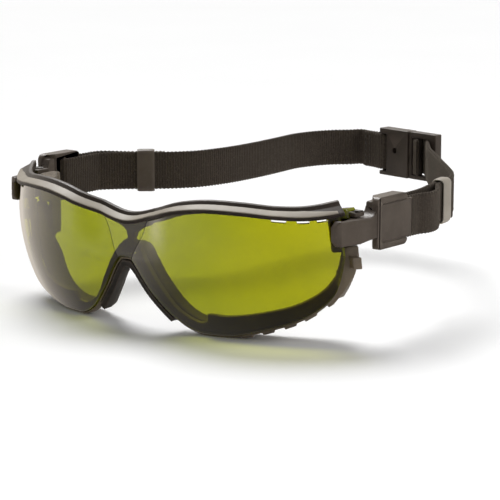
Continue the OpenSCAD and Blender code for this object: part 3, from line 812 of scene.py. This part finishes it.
def make_object():
    frame_plastic = plastic("frame_plastic_satin", (44, 36, 30), (56, 47, 40), (118, 106, 94), 0.42)
    stripe_plastic = plastic("stripe_plastic", (138, 129, 115), (152, 143, 128), (184, 175, 160), 0.5)
    carrier_plastic = plastic("carrier_plastic", (98, 86, 72), (116, 103, 86), (150, 138, 120), 0.45)
    clip_plastic = plastic("clip_plastic_satin", (72, 62, 54), (84, 74, 65), (130, 118, 105), 0.38)
    buckle_plastic = plastic("buckle_plastic_satin", (52, 44, 38), (64, 55, 48), (112, 101, 90), 0.42)
    keeper_pale = plastic("keeper_pale_plastic", (142, 134, 122), (158, 149, 137), (190, 182, 170), 0.45)
    keeper_dark = plastic("keeper_dark_plastic", (78, 68, 60), (90, 80, 71), (140, 128, 116), 0.38)
    lens_material = tinted_lens()
    weave = elastic()

    lens = make_lens(lens_material)
    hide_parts("lens")
    make_lens_tabs(lens_material, 1)
    make_lens_tabs(lens_material, -1)
    make_brow(frame_plastic, stripe_plastic)

    finish_piece(moulded("seal_frame", "seal_carrier", 0.32, 4), "front", carrier_plastic,
                 "carrier_plastic", "seal_carrier")
    finish_piece(moulded("foam_pad", "face_foam", 0.7, 12), "front", foam(), "foam", "face_foam")
    finish_piece(moulded("nose_rest", "nose_pad", 0.28, 5), "front", rubber(), "nose_rubber", "nose_pad")

    pins = steel()
    for hand in ("left", "right"):
        for node, body, material, slot, width in (
                ("temple_lug_", "front", frame_plastic, "frame_plastic", 0.25),
                ("hinge_pin_", "front", pins, "pin_steel", 0.15),
                ("strap_clip_", "clip_" + hand, clip_plastic, "clip_plastic", 0.45)):
            piece = bevelled(copy_of(node + hand + "_moulded", node + hand), width)
            finish_piece(piece, body, material, slot, node + hand)
    for node, body in (("buckle_socket", "front"), ("buckle_plug", "plug")):
        piece = bevelled(copy_of(node + "_moulded", node), 0.4)
        finish_piece(piece, body, buckle_plastic, "buckle_plastic", node)

    make_straps(weave)
    make_keeper("keeper_left_band", KEEPER_NEAR, "keeper_left", keeper_pale, "keeper_pale", "keeper_left")
    make_keeper("keeper_right_band", KEEPER_FAR, "keeper_right", keeper_dark, "keeper_dark", "keeper_right")
    make_stitches(thread())


# ---------------------------------------------------------------- floor, light and camera

# Brightness of the studio as the camera sees it and as it lights the goggles
BACKDROP = 1.2
AMBIENT = 0.42
# Direction from the goggles to the camera, and the tone of what they reflect
TOWARD_CAMERA = (0.63, -0.751, 0.196)
WARM = (1.0, 0.93, 0.84, 1.0)


def ranged(add, low, high, to_low, to_high):
    """A node that maps one range of numbers to another."""
    made = add("MapRange")
    for key, value in (("From Min", low), ("From Max", high), ("To Min", to_low), ("To Max", to_high)):
        made.inputs[key].default_value = value
    return made


def mirrored_level(add, link_to, direction):
    """Brightness that reflections see in a direction: dark round the camera, bright behind the goggles."""
    facing = add("VectorMath", operation="DOT_PRODUCT")
    facing.inputs[1].default_value = TOWARD_CAMERA
    level = ranged(add, -0.6, 1.0, 0.66, 0.02)
    link_to(direction, facing.inputs[0])
    link_to(facing.outputs["Value"], level.inputs["Value"])
    upward = add("SeparateXYZ")
    link_to(direction, upward.inputs[0])
    low = ranged(add, -0.65, -0.2, 0.3, 1.0)
    link_to(upward.outputs[2], low.inputs["Value"])
    both = add("Math", operation="MULTIPLY")
    link_to(level.outputs[0], both.inputs[0])
    link_to(low.outputs[0], both.inputs[1])
    return both.outputs[0]


def make_floor():
    """White paper, which reflections see as part of the same dark-to-bright surroundings."""
    size = 6.0
    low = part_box("seal_carrier")[0].z
    corners = [(-size, -size, low), (size, -size, low), (size, size, low), (-size, size, low)]
    floor = new_object("floor", corners, [(0, 1, 2, 3)])
    sh = Shader("floor_white")
    mottled = sh.mix(sh.noise(0.01, 2), (0.93, 0.93, 0.93, 1), (0.95, 0.95, 0.95, 1))
    paper = sh.principled(colour=mottled, rough=0.9, specular=0.1)
    ahead = sh.node("VectorMath", {0: sh.node("NewGeometry").outputs["Incoming"], "Scale": -1.0},
                    operation="SCALE").outputs[0]
    level = mirrored_level(sh.node, sh.tree.links.new, ahead)
    glow = sh.node("Emission", {"Color": WARM, "Strength": level}).outputs[0]
    mirrored = sh.node("LightPath").outputs["Is Glossy Ray"]
    both = sh.node("MixShader", {0: mirrored, 1: paper, 2: glow}).outputs[0]
    floor.data.materials.append(sh.surface(both))


def make_world():
    """A white studio. Reflections see it dark round the camera and bright behind and beside the goggles."""
    world = bpy.data.worlds.new("studio")
    bpy.context.scene.world = world
    world.use_nodes = True
    tree = world.node_tree
    tree.nodes.clear()

    def node(kind, **settings):
        made = tree.nodes.new("ShaderNode" + kind)
        for key, value in settings.items():
            setattr(made, key, value)
        return made

    out, path, at = node("OutputWorld"), node("LightPath"), node("TexCoord")
    shades = []
    for strength in (BACKDROP, AMBIENT, 1.0):
        shade = node("Background")
        shade.inputs["Strength"].default_value = strength
        shades.append(shade)
    seen, soft, mirrored = shades
    mirrored.inputs["Color"].default_value = WARM
    level = mirrored_level(node, tree.links.new, at.outputs["Generated"])
    tree.links.new(level, mirrored.inputs["Strength"])
    first, second = node("MixShader"), node("MixShader")
    for link in ((path.outputs["Is Glossy Ray"], first.inputs[0]), (soft.outputs[0], first.inputs[1]),
                 (mirrored.outputs[0], first.inputs[2]), (path.outputs["Is Camera Ray"], second.inputs[0]),
                 (first.outputs[0], second.inputs[1]), (seen.outputs[0], second.inputs[2]),
                 (second.outputs[0], out.inputs[0])):
        tree.links.new(*link)


def aimed(name, data, position, target):
    """A lamp at a position, turned towards a target."""
    light = bpy.data.objects.new(name, data)
    bpy.context.scene.collection.objects.link(light)
    light.location = position
    light.rotation_mode = "QUATERNION"
    light.rotation_quaternion = (Vector(target) - Vector(position)).to_track_quat("-Z", "Y")


def make_sun():
    """A very large soft lamp above, behind and a little to the left of the goggles."""
    data = bpy.data.lights.new("sun", "SUN")
    data.energy = 2.75
    data.angle = math.radians(34)
    aimed("sun", data, (-0.62, 0.42, 1.0), (0, 0, 0))


def make_softbox(name, position, target, size, power):
    """A round soft lamp."""
    data = bpy.data.lights.new(name, "AREA")
    data.shape = "DISK"
    data.size = size
    data.energy = power
    aimed(name, data, position, target)


def make_camera():
    """The camera looks down at the goggles from the wearer's left front."""
    azimuth, elevation = math.radians(40), math.radians(11.3)
    right = Vector((math.cos(azimuth), math.sin(azimuth), 0))
    ahead = Vector((-math.sin(azimuth) * math.cos(elevation), math.cos(azimuth) * math.cos(elevation),
                    -math.sin(elevation)))
    up = right.cross(ahead)
    data = bpy.data.cameras.new("camera")
    data.sensor_width = 36
    data.lens = 168.0
    camera = bpy.data.objects.new("camera", data)
    bpy.context.scene.collection.objects.link(camera)
    camera.location = (0.5102, -0.5821, 0.1575)
    aim = ahead + right * 0.02867 + up * 0.00317
    camera.rotation_mode = "QUATERNION"
    camera.rotation_quaternion = aim.to_track_quat("-Z", "Y")
    bpy.context.scene.camera = camera


make_object()
make_floor()
make_world()
make_sun()
make_softbox("edge", (0.55, 0.35, 0.35), (0.05, 0.05, 0), 0.35, 1.2)
make_camera()
bpy.context.scene.view_settings.view_transform = "Standard"
